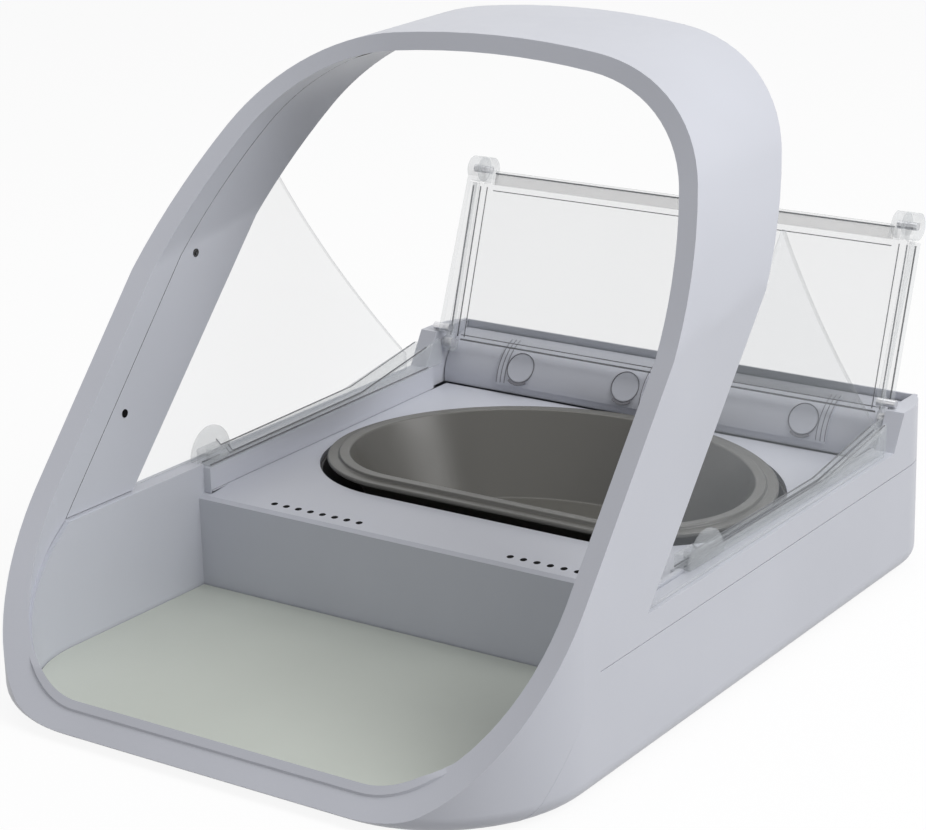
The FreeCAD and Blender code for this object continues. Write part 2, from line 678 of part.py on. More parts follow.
def shield(side):
    """One clear side shield between the hoop and the rail, with a rib on its curved edge."""
    low = RAIL_FLOOR
    tip = 158.0
    curve = [Vector(0, y, z) for y, z in ((rear_plane(tip) + 0.4, tip), (46.5, 135.5), (69.5, 106),
                                          (90, 82.5), (112, low + 7))]
    edge = Part.BSplineCurve()
    edge.interpolate(curve)
    start = Vector(0, rear_plane(low) + 0.4, low)
    corner = Vector(0, 112, low)
    edges = [Part.LineSegment(start, curve[0]).toShape(), edge.toShape(),
             Part.LineSegment(curve[-1], corner).toShape(), Part.LineSegment(corner, start).toShape()]
    plate = Part.Face(Part.Wire(edges)).extrude(Vector(1.5, 0, 0))
    lean = math.atan2(outer_side(100) - outer_side(0), 100)
    plate.rotate(Vector(), Z_AXIS, -math.degrees(lean))
    plate.translate(Vector(outer_side(0) - 2.7, 0, 0))
    if side < 0:
        plate = mirrored(plate)
    name = "left_shield" if side < 0 else "right_shield"
    return keep(shaped(name.title().replace("_", ""), plate), name)


# ---------------------------------------------------------------- folding lid
def panel_parts(name, length, reach_low, reach_high):
    """The plate, ribs and end boss of a lid panel that lies along +Y from its pivot."""
    half = size("panel_half_width")
    rib = size("lid_rib")
    outer = -size("panel_offset") - size("panel_thickness")
    reach = (reach_low, length - reach_high)
    plate = box(name + "Plate", (-half, half), reach, (outer, -size("panel_offset")))
    ribs = []
    for label, side in SIDES.items():
        x_span = side_span(side, half - rib, half)
        ribs.append(box(f"{name}Rib_{label}", x_span, reach, (outer, as_size(-0.5))))
    inner = size("knuckle_inner") - 1
    lip = (length - reach_high - 1, length - 0.4) if reach_high.value > 0 else (as_size(0.4), reach_low + 1)
    edge = box(name + "Edge", (-inner, inner), lip, (outer, -size("panel_offset")))
    return [plate, edge] + ribs


def knuckle(name, x_low, x_high, y, hole):
    """A pair of round lugs on a panel, with the hole for their pin."""
    lugs = []
    holes = []
    for label, side in SIDES.items():
        start = x_low if side > 0 else -as_size(x_high)
        width = as_size(x_high) - x_low
        lugs.append(rod(f"{name}Lug_{label}", size("knuckle_radius"), width, (start, y, 0), X_AXIS))
        holes.append(rod(f"{name}Hole_{label}", hole, width + 2, (as_size(start) - 1, y, 0), X_AXIS))
    return lugs, holes


def lid_rear_panel():
    """The panel that turns on the rear hinge."""
    length = size("rear_panel")
    parts = panel_parts("RearPanel", length, as_size(1.5), size("knuckle_radius") + 0.6)
    lugs, holes = knuckle("RearKnuckle", size("knuckle_inner"), size("knuckle_split") - 0.25, length,
                          size("knuckle_pin_radius"))
    arms = []
    for label, side in SIDES.items():
        half = size("panel_half_width")
        start = half - size("lid_rib") if side > 0 else -half
        arms.append(rod(f"HingeBoss_{label}", 3.6, size("lid_rib"), (start, 0, 0), X_AXIS))
        holes.append(rod(f"HingeHole_{label}", size("hinge_pin_radius"), size("lid_rib") + 2,
                         (as_size(start) - 1, 0, 0), X_AXIS))
        tab = size("knuckle_split") - 0.25
        x_span = (size("knuckle_inner"), tab) if side > 0 else (-tab, -size("knuckle_inner"))
        outer = -size("panel_offset") - size("panel_thickness")
        arms.append(box(f"RearTab_{label}", x_span, (length - 9, length), (outer, -size("panel_offset"))))
    panel = cut("RearPanelSolid", fuse("RearPanelWhole", parts + lugs + arms), holes)
    place(panel, 0, size("hinge_back"), size("hinge_level"), Rotation(X_AXIS, mm("lid_lean")))
    return keep(panel, "lid_rear_panel")


def knuckle_point():
    """Where the knuckle axis is with the lid open."""
    lean = math.radians(mm("lid_lean"))
    return Vector(0, mm("hinge_back") + mm("rear_panel") * math.cos(lean),
                  mm("hinge_level") + mm("rear_panel") * math.sin(lean))


FOLD_TURN = mm("lid_lean") + 180 - mm("fold_angle")


def at_knuckle(thing):
    """Place an object of the front panel's own frame at the folded lid."""
    turn = Rotation(X_AXIS, FOLD_TURN)
    spot = knuckle_point()
    thing.Placement = Placement(spot, turn)


def lid_front_panel():
    """The panel that folds on the knuckles."""
    length = size("front_panel")
    parts = panel_parts("FrontPanel", length, size("knuckle_radius") + 0.6, as_size(-2))
    lugs, holes = knuckle("FrontKnuckle", size("knuckle_split"), size("panel_half_width"), 0,
                          size("knuckle_pin_radius") + size("running_gap"))
    extras = []
    for label, side in SIDES.items():
        half = size("panel_half_width")
        start = half - size("lid_rib") if side > 0 else -half
        extras.append(rod(f"GuideBoss_{label}", 2.6, size("lid_rib") - 0.4,
                          (as_size(start) + (0 if side > 0 else 0.4), length, 0), X_AXIS))
        holes.append(rod(f"GuideHole_{label}", size("knuckle_pin_radius"), size("lid_rib") + 2,
                         (as_size(start) - 1, length, 0), X_AXIS))
        x_span = (size("knuckle_split"), half) if side > 0 else (-half, -size("knuckle_split"))
        outer = -size("panel_offset") - size("panel_thickness")
        extras.append(box(f"FrontTab_{label}", x_span, (0, 9), (outer, -size("panel_offset"))))
    panel = cut("FrontPanelSolid", fuse("FrontPanelWhole", parts + lugs + extras), holes)
    at_knuckle(panel)
    return keep(panel, "lid_front_panel")


def pins(label, radius, x_low, x_high, y, z):
    """A pair of steel pins across the feeder, one on each side."""
    made = []
    for side_name, side in SIDES.items():
        start = x_low if side > 0 else -as_size(x_high)
        made.append(rod(f"{label}_{side_name}", radius, as_size(x_high) - x_low, (start, y, z), X_AXIS))
    return keep(fuse(label + "_pair", made), label)


def lid_pins():
    """The lid's hinge, knuckle and guide pins."""
    half = size("panel_half_width")
    pins("lid_hinge_pins", size("hinge_pin_radius"), half - size("lid_rib"), 107.3,
         size("hinge_back"), size("hinge_level"))
    spot = knuckle_point()
    pins("lid_knuckle_pins", size("knuckle_pin_radius"), size("knuckle_inner") + 0.5, half - 0.5,
         spot.y, spot.z)
    guides = pins("lid_guide_pins", size("knuckle_pin_radius"), half - size("lid_rib"), size("guide_reach"),
                  size("front_panel"), 0)
    at_knuckle(guides)


# ---------------------------------------------------------------- bar, motor and gears
def bar_quadrant(name, radius, x_half):
    """The front upper part of a round bar across the rear."""
    bar = rod(name + "Round", radius, as_size(x_half) * 2,
              (-as_size(x_half), size("bar_back"), size("bar_level")), X_AXIS)
    keep_box = box(name + "Keep", (-as_size(x_half), x_half), (size("bar_back") - radius, size("bar_back")),
                   (size("bar_level") - 0.7, size("bar_level") + radius))
    return common(name, [bar, keep_box])


PLUG_PLACES = (-65, -15, 15, 65)
PLUG_ANGLE = 148.0


def plug_rods(name, radius, inner, outer):
    """Short rods that stand square to the bar's surface at the plugs."""
    turn = math.radians(PLUG_ANGLE)
    aim = Vector(0, math.cos(turn), math.sin(turn))
    rods = []
    for index, x in enumerate(PLUG_PLACES):
        start = (x, size("bar_back") + as_size(inner) * aim.y, size("bar_level") + as_size(inner) * aim.z)
        rods.append(rod(f"{name}_{index}", radius, as_size(outer) - inner, start, aim))
    return rods


def rear_bar():
    """The rounded bar across the rear of the deck."""
    outside = bar_quadrant("BarOuter", size("bar_radius"), size("bar_half_width"))
    inside = bar_quadrant("BarInner", size("bar_radius") - 2, size("bar_half_width") + 1)
    holes = plug_rods("BarHole", size("plug_radius") + 0.1, size("bar_radius") - 5, size("bar_radius") + 3)
    return keep(cut("BarSolid", outside, [inside] + holes), "rear_bar")


def bar_cover(label, side):
    """A thin curved cover over the bar's fixings on one side."""
    inner = size("bar_radius") + 0.1
    width = size("cover_outer") - size("cover_inner")
    span = side_span(side, size("cover_inner"), size("cover_outer"))
    start = (span[0], size("bar_back"), size("bar_level"))
    outside = rod(f"Cover{label}Outer", inner + size("cover_thickness"), width, start, X_AXIS)
    inside = rod(f"Cover{label}Inner", inner, width, start, X_AXIS)
    shell = cut(f"Cover{label}Shell", outside, [inside])
    window = box(f"Cover{label}Window", span, (size("bar_back") - 20, size("bar_back") - 5),
                 (size("bar_level") + 2.5, size("bar_level") + 20))
    holes = plug_rods(f"Cover{label}Hole", size("plug_radius") + 0.1, size("bar_radius") - 5,
                      size("bar_radius") + 3)
    curved = common(f"Cover{label}", [shell, window])
    return keep(cut(f"Cover{label}Solid", curved, holes), f"{label}_bar_cover")


def screw_plugs():
    """Four round plugs over the bar's screws."""
    rods = plug_rods("Plug", size("plug_radius"), size("bar_radius") - 1.9, size("bar_radius") + 1.2)
    return keep(fuse("ScrewPlugs", rods), "screw_plugs")


def motor():
    """The can of the lid motor."""
    start = size("cheek_inner") - 0.2 - size("motor_length")
    can = rod("MotorCan", size("motor_radius"), size("motor_length"),
              (start, size("motor_back"), size("motor_level")), X_AXIS)
    bore = rod("MotorBore", size("shaft_radius") + size("running_gap"), size("motor_length"),
               (start + 8, size("motor_back"), size("motor_level")), X_AXIS)
    return keep(cut("MotorSolid", can, [bore]), "lid_motor")


def motor_saddle():
    """The block on the floor that holds the motor."""
    start = size("cheek_inner") - 0.2 - size("motor_length") + 6
    floor = size("foot_height") + size("floor_plate") + 0.05
    block_half = size("motor_radius") + 2
    solid = box("SaddleBlock", (start, start + 16),
                (size("motor_back") - block_half, size("motor_back") + block_half),
                (floor, size("motor_level") + 1))
    bore = rod("SaddleBore", size("motor_radius") + 0.05, 60,
               (start - 10, size("motor_back"), size("motor_level")), X_AXIS)
    return keep(cut("SaddleSolid", solid, [bore]), "motor_saddle")


def gear_plate():
    """The upright plate that carries the lower idler and steadies the motor."""
    low = size("foot_height") + size("floor_plate") + 0.05
    plate = box("GearPlateBlock", (size("cheek_inner"), size("cheek_inner") + size("cheek_wall")),
                (size("idler_back") - 9.5, size("motor_back") + 5), (low, size("seam_level") - 0.4))
    hole = rod("GearPlateHole", size("shaft_radius") + 0.3, 6,
               (size("cheek_inner") - 2, size("motor_back"), size("motor_level")), X_AXIS)
    return keep(cut("GearPlateSolid", plate, [hole]), "gear_plate")


def gear_face(teeth, phase):
    """The outline of a spur gear, with a tooth centred on the phase angle."""
    module = mm("gear_module")
    pitch = 2 * math.pi / teeth
    radius = module * teeth / 2
    rings = ((radius - 1.25 * module, 0.30), (radius, 0.20), (radius + 0.8 * module, 0.09))
    points = []
    for tooth in range(teeth):
        centre = phase + tooth * pitch
        flank = [(r, centre - w * pitch) for r, w in rings]
        flank += [(r, centre + w * pitch) for r, w in reversed(rings)]
        points += [Vector(0, r * math.cos(a), r * math.sin(a)) for r, a in flank]
    return Part.Face(Part.makePolygon(points + points[:1]))


def gear(label, teeth, phase, centre, bore):
    """A spur gear in the drive's plane on the right side."""
    blank = gear_face(teeth, phase).extrude(Vector(mm("gear_face"), 0, 0))
    blank = blank.cut(Part.makeCylinder(bore, 20, Vector(-5, 0, 0), X_AXIS))
    blank.translate(Vector(mm("gear_plane"), centre[0], centre[1]))
    return keep(shaped(label.title().replace("_", ""), blank), label)


def below(point, teeth, back):
    """The centre of the next gear down, at a distance set by the teeth of both gears."""
    reach = mm("gear_module") * teeth / 2
    return (back, point[1] - math.sqrt(reach ** 2 - (back - point[0]) ** 2))


def drive_train():
    """Four meshed gears that carry the motor's turn to the lid, and what they turn on."""
    small = int(mm("pinion_teeth"))
    large = int(mm("idler_teeth"))
    lid = (mm("hinge_back"), mm("hinge_level"))
    upper = below(lid, small + large, mm("idler_back"))
    lower = below(upper, 2 * large, mm("idler_back"))
    driver = (mm("motor_back"), lower[1] - math.sqrt(
        (mm("gear_module") * (small + large) / 2) ** 2 - (mm("motor_back") - lower[0]) ** 2))
    train = (("lid_pinion", small, lid, mm("hinge_pin_radius")),
             ("upper_idler", large, upper, mm("axle_radius") + mm("running_gap")),
             ("lower_idler", large, lower, mm("axle_radius") + mm("running_gap")),
             ("motor_pinion", small, driver, mm("shaft_radius")))
    phase = math.atan2(upper[1] - lid[1], upper[0] - lid[0])
    before = None
    for label, teeth, centre, bore in train:
        if before is not None:
            toward = math.atan2(centre[1] - before[1][1], centre[0] - before[1][0])
            offset = (phase - toward) % (2 * math.pi / before[0])
            phase = toward + math.pi - offset * before[0] / teeth + math.pi / teeth
        gear(label, teeth, phase, centre, bore)
        before = (teeth, centre)
    axle_start = mm("cheek_inner") + mm("cheek_wall")
    end = mm("gear_plane") + mm("gear_face")
    axles = [Part.makeCylinder(mm("axle_radius"), end - axle_start, Vector(axle_start, *centre), X_AXIS)
             for centre in (upper, lower)]
    keep(shaped("IdlerAxles", Part.makeCompound(axles)), "idler_axles")
    shaft_start = Vector(mm("cheek_inner") - 20, *driver)
    shaft = Part.makeCylinder(mm("shaft_radius"), end - shaft_start.x, shaft_start, X_AXIS)
    return keep(shaped("MotorShaft", shaft), "motor_shaft")


# ---------------------------------------------------------------- power, board and controls
def battery(number):
    """One round cell, with its positive nub."""
    x_start = size("cell_length") * (number - 3)
    can = rod(f"Cell{number}Can", size("cell_radius"), size("cell_length") - 2.4,
              (x_start + 0.6, size("cell_back"), size("cell_level")), X_AXIS)
    nub = rod(f"Cell{number}Nub", 3.2, 1.4, (x_start + size("cell_length") - 1.8, size("cell_back"),
              size("cell_level")), X_AXIS)
    return keep(fuse(f"Cell{number}", [can, nub]), f"battery_{number}")


def battery_contacts():
    """The spring plates at the two ends of the row of cells."""
    plates = []
    for label, side in SIDES.items():
        reach = size("cell_length") * 2
        span = (reach, reach + 0.6) if side > 0 else (-reach - 0.6, -reach)
        plates.append(box(f"Contact_{label}", span, (size("cell_back") - 7, size("cell_back") + 7),
                          (size("cell_level") - 9, size("cell_level") + 9)))
    return keep(fuse("BatteryContacts", plates), "battery_contacts")


def cell_cradle():
    """The ribbed cradle that the cells lie in, hung from the deck."""
    top = size("deck_level") - size("bevel_drop") - 4
    solid = box("CradleBlock", (-103.2, 103.2), (size("cell_back") - 9, size("cell_back") + 5),
                (size("cell_level") + 8, top))
    hollow = rod("CradleBore", size("cell_radius") + 0.3, 204,
                 (-102, size("cell_back"), size("cell_level")), X_AXIS)
    lighten = box("CradleLighten", (-101, 101), (size("cell_back") - 5, size("cell_back") + 2),
                  (top - 3, top + 1))
    return keep(cut("CradleSolid", solid, [hollow, lighten]), "cell_cradle")


def battery_door(label, side):
    """A battery door in the floor, with the tongue that hooks over its edges."""
    span = side_span(side, size("door_inner"), size("door_outer"))
    tongue = (span[0] - 2, span[1] + 2)
    middle = size("cell_back")
    half = size("door_half_depth")
    low = size("foot_height") + 0.1
    high = size("foot_height") + size("floor_plate") + 0.1
    plate = slab(f"Door_{label}", span, (middle - half, middle + half), size("door_corner"), (low, high))
    hook = box(f"DoorTongue_{label}", tongue, (middle - 6, middle + 6), (high, high + 0.9))
    return keep(fuse(f"DoorWhole_{label}", [plate, hook]), f"{label}_battery_door")


def button(label, side):
    """A rear push button with a flange behind the wall."""
    x = size("button_spacing") / 2 * side
    back = size("body_length") / 2
    cap = rod(f"Cap_{label}", size("button_radius"), 6.3, (x, back - 6.5, size("button_level")), Y_AXIS)
    flange = rod(f"Flange_{label}", size("button_radius") + 1.3, 1.6,
                 (x, back - size("shell_wall") - 1.9, size("button_level")), Y_AXIS)
    return keep(fuse(f"Button_{label}", [cap, flange]), label)


def status_lens():
    """The small light pipe between the buttons."""
    start = (0, size("body_length") / 2 - 5.3, size("button_level"))
    return keep(rod("StatusLens", 1.95, 5.2, start, Y_AXIS), "status_lens")


def boards():
    """The control board on its posts and the upright switch board on it."""
    level = size("foot_height") + size("floor_plate") + 4.8
    half = size("board_half_width")
    board = slab("ControlBoard", (-half, half), (131.5, 153.5), size("board_corner"), (level, level + 1.6))
    chips = [box(f"Chip_{index}", (x, x + 9), (137, 144), (level + 1.6, level + 3.4)) for index, x in
             enumerate((-40, -14, 16))]
    holes = [rod(f"BoardHole_{x}_{y}", 1.1, 4, (x, y, level - 1)) for x in (-50, 50) for y in (136, 150)]
    keep(cut("BoardSolid", fuse("BoardWhole", [board] + chips), holes), "control_board")
    upright = box("SwitchBoard", (-24, 24), (148.2, 149.8), (level + 1.6, size("button_level") + 9))
    caps = []
    for side in (-1, 1):
        start = (size("button_spacing") / 2 * side, 149.8, size("button_level"))
        caps.append(rod(f"Switch_{side}", 2.4, 1.0, start, Y_AXIS))
    keep(fuse("SwitchWhole", [upright] + caps), "switch_board")
    screws = []
    for x in (-50, 50):
        for y in (136, 150):
            name = f"{x}_{y}".replace("-", "n")
            shank = rod(f"BoardShank_{name}", 1.0, 4.4, (x, y, level - 2.8))
            head = rod(f"BoardHead_{name}", 2.1, 1.3, (x, y, level + 1.6))
            screws.append(fuse(f"BoardScrew_{name}", [shank, head]))
    keep(fuse("BoardScrews", screws), "board_screws")


def base_screws():
    """The four screws from the floor into the deck's posts."""
    screws = []
    low = size("foot_height") + 0.1
    for index, (x, y) in enumerate(screw_places()):
        head = rod(f"BaseHead_{index}", size("screw_head"), 1.5, (x, y, low))
        shank = rod(f"BaseShank_{index}", size("screw_radius"), 12, (x, y, low))
        screws.append(fuse(f"BaseScrew_{index}", [head, shank]))
    return keep(fuse("BaseScrews", screws), "base_screws")


def feet():
    """The soft feet under the base."""
    made = []
    for index, (x, y) in enumerate(((-84, -118), (84, -118), (-84, 128), (84, 128), (-84, 52), (84, 52))):
        made.append(rod(f"Foot_{index}", size("foot_radius"), size("foot_height"), (x, y, 0)))
    return keep(fuse("Feet", made), "rubber_feet")


# ---------------------------------------------------------------- assembly
def build():
    """Make every sub-part."""
    upper_shell()
    hoop_liner()
    sensor_lenses()
    aerial_coil()
    base_shell()
    inner_tray()
    feeding_mat()
    bowl()
    bowl_well()
    for label, side in SIDES.items():
        track(side)
        shield(side)
        bar_cover(label, side)
        battery_door(label, side)
    lid_rear_panel()
    lid_front_panel()
    lid_pins()
    rear_bar()
    screw_plugs()
    motor()
    motor_saddle()
    gear_plate()
    drive_train()
    for number in range(1, 5):
        battery(number)
    battery_contacts()
    cell_cradle()
    boards()
    button("pairing_button", -1)
    button("lid_button", 1)
    status_lens()
    base_screws()
    feet()


def check_document():
    """Stop if any object failed or any sub-part is empty or invalid."""
    for thing in doc.Objects:
        if "Invalid" in thing.State or "Error" in thing.State:
            raise RuntimeError(f"{thing.Name} failed: {thing.State}")
    for part in PARTS:
        if part.Shape.isNull() or not part.Shape.isValid():
            raise RuntimeError(f"{part.Label} has no valid shape")


build()
doc.recompute()
check_document()
os.makedirs("parts", exist_ok=True)
for part in PARTS:
    part.Shape.exportStep(os.path.join("parts", part.Label + ".step"))
    bounds = part.Shape.BoundBox
    print(f"{part.Label:18s} solids {len(part.Shape.Solids)} volume {part.Shape.Volume / 1000:8.2f} cm3 "
          f"x {bounds.XMin:.1f}..{bounds.XMax:.1f} y {bounds.YMin:.1f}..{bounds.YMax:.1f} "
          f"z {bounds.ZMin:.1f}..{bounds.ZMax:.1f}")
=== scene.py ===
import json
import math

import bmesh
import bpy
from mathutils import Matrix, Vector


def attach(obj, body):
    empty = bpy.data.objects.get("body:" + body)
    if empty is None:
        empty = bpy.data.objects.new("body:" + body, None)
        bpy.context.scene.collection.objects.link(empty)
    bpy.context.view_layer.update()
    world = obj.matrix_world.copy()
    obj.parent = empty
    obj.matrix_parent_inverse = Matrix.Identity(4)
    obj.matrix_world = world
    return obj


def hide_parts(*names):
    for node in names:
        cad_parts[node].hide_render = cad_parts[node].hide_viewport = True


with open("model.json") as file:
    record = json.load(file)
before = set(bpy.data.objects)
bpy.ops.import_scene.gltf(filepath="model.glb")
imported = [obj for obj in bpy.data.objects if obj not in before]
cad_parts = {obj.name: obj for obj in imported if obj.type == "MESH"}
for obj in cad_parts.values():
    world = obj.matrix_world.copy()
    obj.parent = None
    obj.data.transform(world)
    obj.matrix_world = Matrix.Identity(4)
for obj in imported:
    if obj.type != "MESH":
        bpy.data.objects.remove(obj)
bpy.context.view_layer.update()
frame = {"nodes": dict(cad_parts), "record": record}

MM = 0.001


# ---------------------------------------------------------------- camera, light and stage
def add_camera():
    """The camera at the photograph's viewpoint."""
    azimuth, elevation, roll = 0.6544, 0.3382, -0.0397
    ahead = Vector((-math.sin(azimuth) * math.cos(elevation),
                    math.cos(azimuth) * math.cos(elevation), -math.sin(elevation)))
    right = Vector((math.cos(azimuth), math.sin(azimuth), 0))
    above = right.cross(ahead)
    turned_right = right * math.cos(roll) + above * math.sin(roll)
    turned_up = above * math.cos(roll) - right * math.sin(roll)
    camera = bpy.data.cameras.new("Camera")
    camera.sensor_width = 36
    camera.lens = 113.31
    camera.shift_x = 0.1183
    camera.shift_y = 0.0643
    camera.clip_end = 30
    holder = bpy.data.objects.new("Camera", camera)
    basis = Matrix((turned_right, turned_up, -ahead)).transposed().to_4x4()
    holder.matrix_world = Matrix.Translation((0.57185, -0.81328, 0.41095)) @ basis
    bpy.context.scene.collection.objects.link(holder)
    bpy.context.scene.camera = holder


def add_lamp(name, place, aim, width, power):
    """A soft square lamp that points at a spot."""
    data = bpy.data.lights.new(name, "AREA")
    data.shape = "SQUARE"
    data.size = width
    data.energy = power
    lamp = bpy.data.objects.new(name, data)
    lamp.location = place
    lamp.rotation_euler = (Vector(aim) - Vector(place)).to_track_quat("-Z", "Y").to_euler()
    bpy.context.scene.collection.objects.link(lamp)


def seen_directly(tree):
    """1 for rays from the camera, and for what metal and clear plastic show."""
    path = tree.nodes.new("ShaderNodeLightPath")
    seen = path.outputs["Is Camera Ray"]
    for kind in ("Is Glossy Ray", "Is Transmission Ray"):
        either = tree.nodes.new("ShaderNodeMath")
        either.operation = "MAXIMUM"
        tree.links.new(seen, either.inputs[0])
        tree.links.new(path.outputs[kind], either.inputs[1])
        seen = either.outputs[0]
    return seen


def white_world(strength):
    """A white surround: full white where it is seen, softer where it lights."""
    world = bpy.data.worlds.new("World")
    bpy.context.scene.world = world
    world.use_nodes = True
    nodes, links = world.node_tree.nodes, world.node_tree.links
    nodes.clear()
    output = nodes.new("ShaderNodeOutputWorld")
    lit = nodes.new("ShaderNodeBackground")
    lit.inputs["Color"].default_value = (0.98, 0.98, 1.0, 1)
    lit.inputs["Strength"].default_value = strength
    shown = nodes.new("ShaderNodeBackground")
    shown.inputs["Color"].default_value = (1, 1, 1, 1)
    shown.inputs["Strength"].default_value = 1.0
    mix = nodes.new("ShaderNodeMixShader")
    links.new(seen_directly(world.node_tree), mix.inputs[0])
    links.new(lit.outputs[0], mix.inputs[1])
    links.new(shown.outputs[0], mix.inputs[2])
    links.new(mix.outputs[0], output.inputs["Surface"])


def add_floor():
    """A plain white floor that keeps the feeder's shadow."""
    mesh = bpy.data.meshes.new("Floor")
    reach = 6.0
    mesh.from_pydata([(-reach, -reach, 0), (reach, -reach, 0), (reach, reach, 0), (-reach, reach, 0)], [],
                     [(0, 1, 2, 3)])
    floor = bpy.data.objects.new("Floor", mesh)
    bpy.context.scene.collection.objects.link(floor)
    material = bpy.data.materials.new("Floor")
    material.use_nodes = True
    tree = material.node_tree
    shader = tree.nodes["Principled BSDF"]
    shader.inputs["Base Color"].default_value = (0.5, 0.5, 0.5, 1)
    shader.inputs["Roughness"].default_value = 0.9
    shader.inputs["Specular IOR Level"].default_value = 0.1
    white = tree.nodes.new("ShaderNodeEmission")
    share = tree.nodes.new("ShaderNodeMath")
    share.operation = "MULTIPLY"
    share.inputs[1].default_value = 0.9
    tree.links.new(seen_directly(tree), share.inputs[0])
    paper = tree.nodes.new("ShaderNodeBsdfDiffuse")
    paper.inputs["Color"].default_value = (1, 1, 1, 1)
    bright = tree.nodes.new("ShaderNodeMixShader")
    tree.links.new(share.outputs[0], bright.inputs[0])
    tree.links.new(paper.outputs[0], bright.inputs[1])
    tree.links.new(white.outputs[0], bright.inputs[2])
    mix = tree.nodes.new("ShaderNodeMixShader")
    tree.links.new(seen_directly(tree), mix.inputs[0])
    tree.links.new(shader.outputs[0], mix.inputs[1])
    tree.links.new(bright.outputs[0], mix.inputs[2])
    tree.links.new(mix.outputs[0], tree.nodes["Material Output"].inputs["Surface"])
    mesh.materials.append(material)


# ---------------------------------------------------------------- materials
class Nodes:
    """A short way to write a material's node tree."""

    def __init__(self, name):
        self.material = bpy.data.materials.new(name)
        self.material.use_nodes = True
        self.tree = self.material.node_tree
        self.shader = self.tree.nodes["Principled BSDF"]
        self.place = self.add("ShaderNodeTexCoord").outputs["Object"]

    def add(self, kind):
        return self.tree.nodes.new(kind)

    def link(self, source, target):
        self.tree.links.new(source, target)

    def noise(self, scale, detail=3.0, rough=0.5):
        """Noise at a number of grains per metre."""
        node = self.add("ShaderNodeTexNoise")
        node.inputs["Scale"].default_value = scale
        node.inputs["Detail"].default_value = detail
        node.inputs["Roughness"].default_value = rough
        self.link(self.place, node.inputs["Vector"])
        return node.outputs["Fac"]

    def ramp(self, source, stops):
        """A colour ramp over a value; stops are (position, colour)."""
        node = self.add("ShaderNodeValToRGB")
        points = node.color_ramp.elements
        while len(points) < len(stops):
            points.new(0.5)
        for point, (position, colour) in zip(points, stops):
            point.position = position
            point.color = (*colour, 1)
        self.link(source, node.inputs["Fac"])
        return node.outputs["Color"]

    def spread(self, source, low, high):
        """A value stretched from 0..1 to a span."""
        node = self.add("ShaderNodeMapRange")
        node.inputs["To Min"].default_value = low
        node.inputs["To Max"].default_value = high
        self.link(source, node.inputs["Value"])
        return node.outputs["Result"]

    def bump(self, source, strength, distance, under=None):
        """A bump from a height value."""
        node = self.add("ShaderNodeBump")
        node.inputs["Strength"].default_value = strength
        node.inputs["Distance"].default_value = distance
        self.link(source, node.inputs["Height"])
        if under is not None:
            self.link(under, node.inputs["Normal"])
        return node.outputs["Normal"]

    def set(self, **values):
        for name, value in values.items():
            self.shader.inputs[name.replace("_", " ")].default_value = value


def shade(colour, amount):
    """A colour made lighter or darker by a factor."""
    return tuple(min(1.0, part * amount) for part in colour)


def moulded(name, colour, rough, grain=2600, depth=0.000008, vary=0.025):
    """Moulded plastic: a fine spark-eroded grain, faint flow shades and uneven gloss."""
    made = Nodes(name)
    flow = made.noise(14, 2)
    made.link(made.ramp(flow, [(0.3, shade(colour, 1 - vary)), (0.7, shade(colour, 1 + vary))]),
              made.shader.inputs["Base Color"])
    made.link(made.spread(made.noise(160, 4), rough - 0.05, rough + 0.06), made.shader.inputs["Roughness"])
    made.link(made.bump(made.noise(grain, 2), 0.25, depth, None), made.shader.inputs["Normal"])
    return made


def clear(name, tint, face_on, edge_on):
    """Clear moulded plastic: how much it veils what is behind it, face on and edge on."""
    made = Nodes(name)
    flow = made.noise(9, 1)
    made.link(made.ramp(flow, [(0.3, shade(tint, 0.96)), (0.7, tint)]), made.shader.inputs["Base Color"])
    made.link(made.spread(made.noise(60, 3), 0.05, 0.14), made.shader.inputs["Roughness"])
    made.link(made.bump(made.noise(25, 2), 0.15, 0.0002), made.shader.inputs["Normal"])
    facing = made.add("ShaderNodeLayerWeight")
    facing.inputs["Blend"].default_value = 0.25
    made.link(made.spread(facing.outputs["Facing"], face_on, edge_on), made.shader.inputs["Alpha"])
    return made


def metal(name, colour, rough):
    """Drawn or stamped metal with fine lines along X."""
    made = Nodes(name)
    stretch = made.add("ShaderNodeMapping")
    stretch.inputs["Scale"].default_value = (30, 2400, 2400)
    made.link(made.place, stretch.inputs["Vector"])
    lines = made.add("ShaderNodeTexNoise")
    lines.inputs["Scale"].default_value = 1.0
    made.link(stretch.outputs["Vector"], lines.inputs["Vector"])
    made.link(made.ramp(lines.outputs["Fac"], [(0.3, shade(colour, 0.85)), (0.7, colour)]),
              made.shader.inputs["Base Color"])
    made.link(made.spread(lines.outputs["Fac"], rough - 0.08, rough + 0.1), made.shader.inputs["Roughness"])
    made.set(Metallic=1.0)
    return made


WHITE = (0.585, 0.6, 0.655)


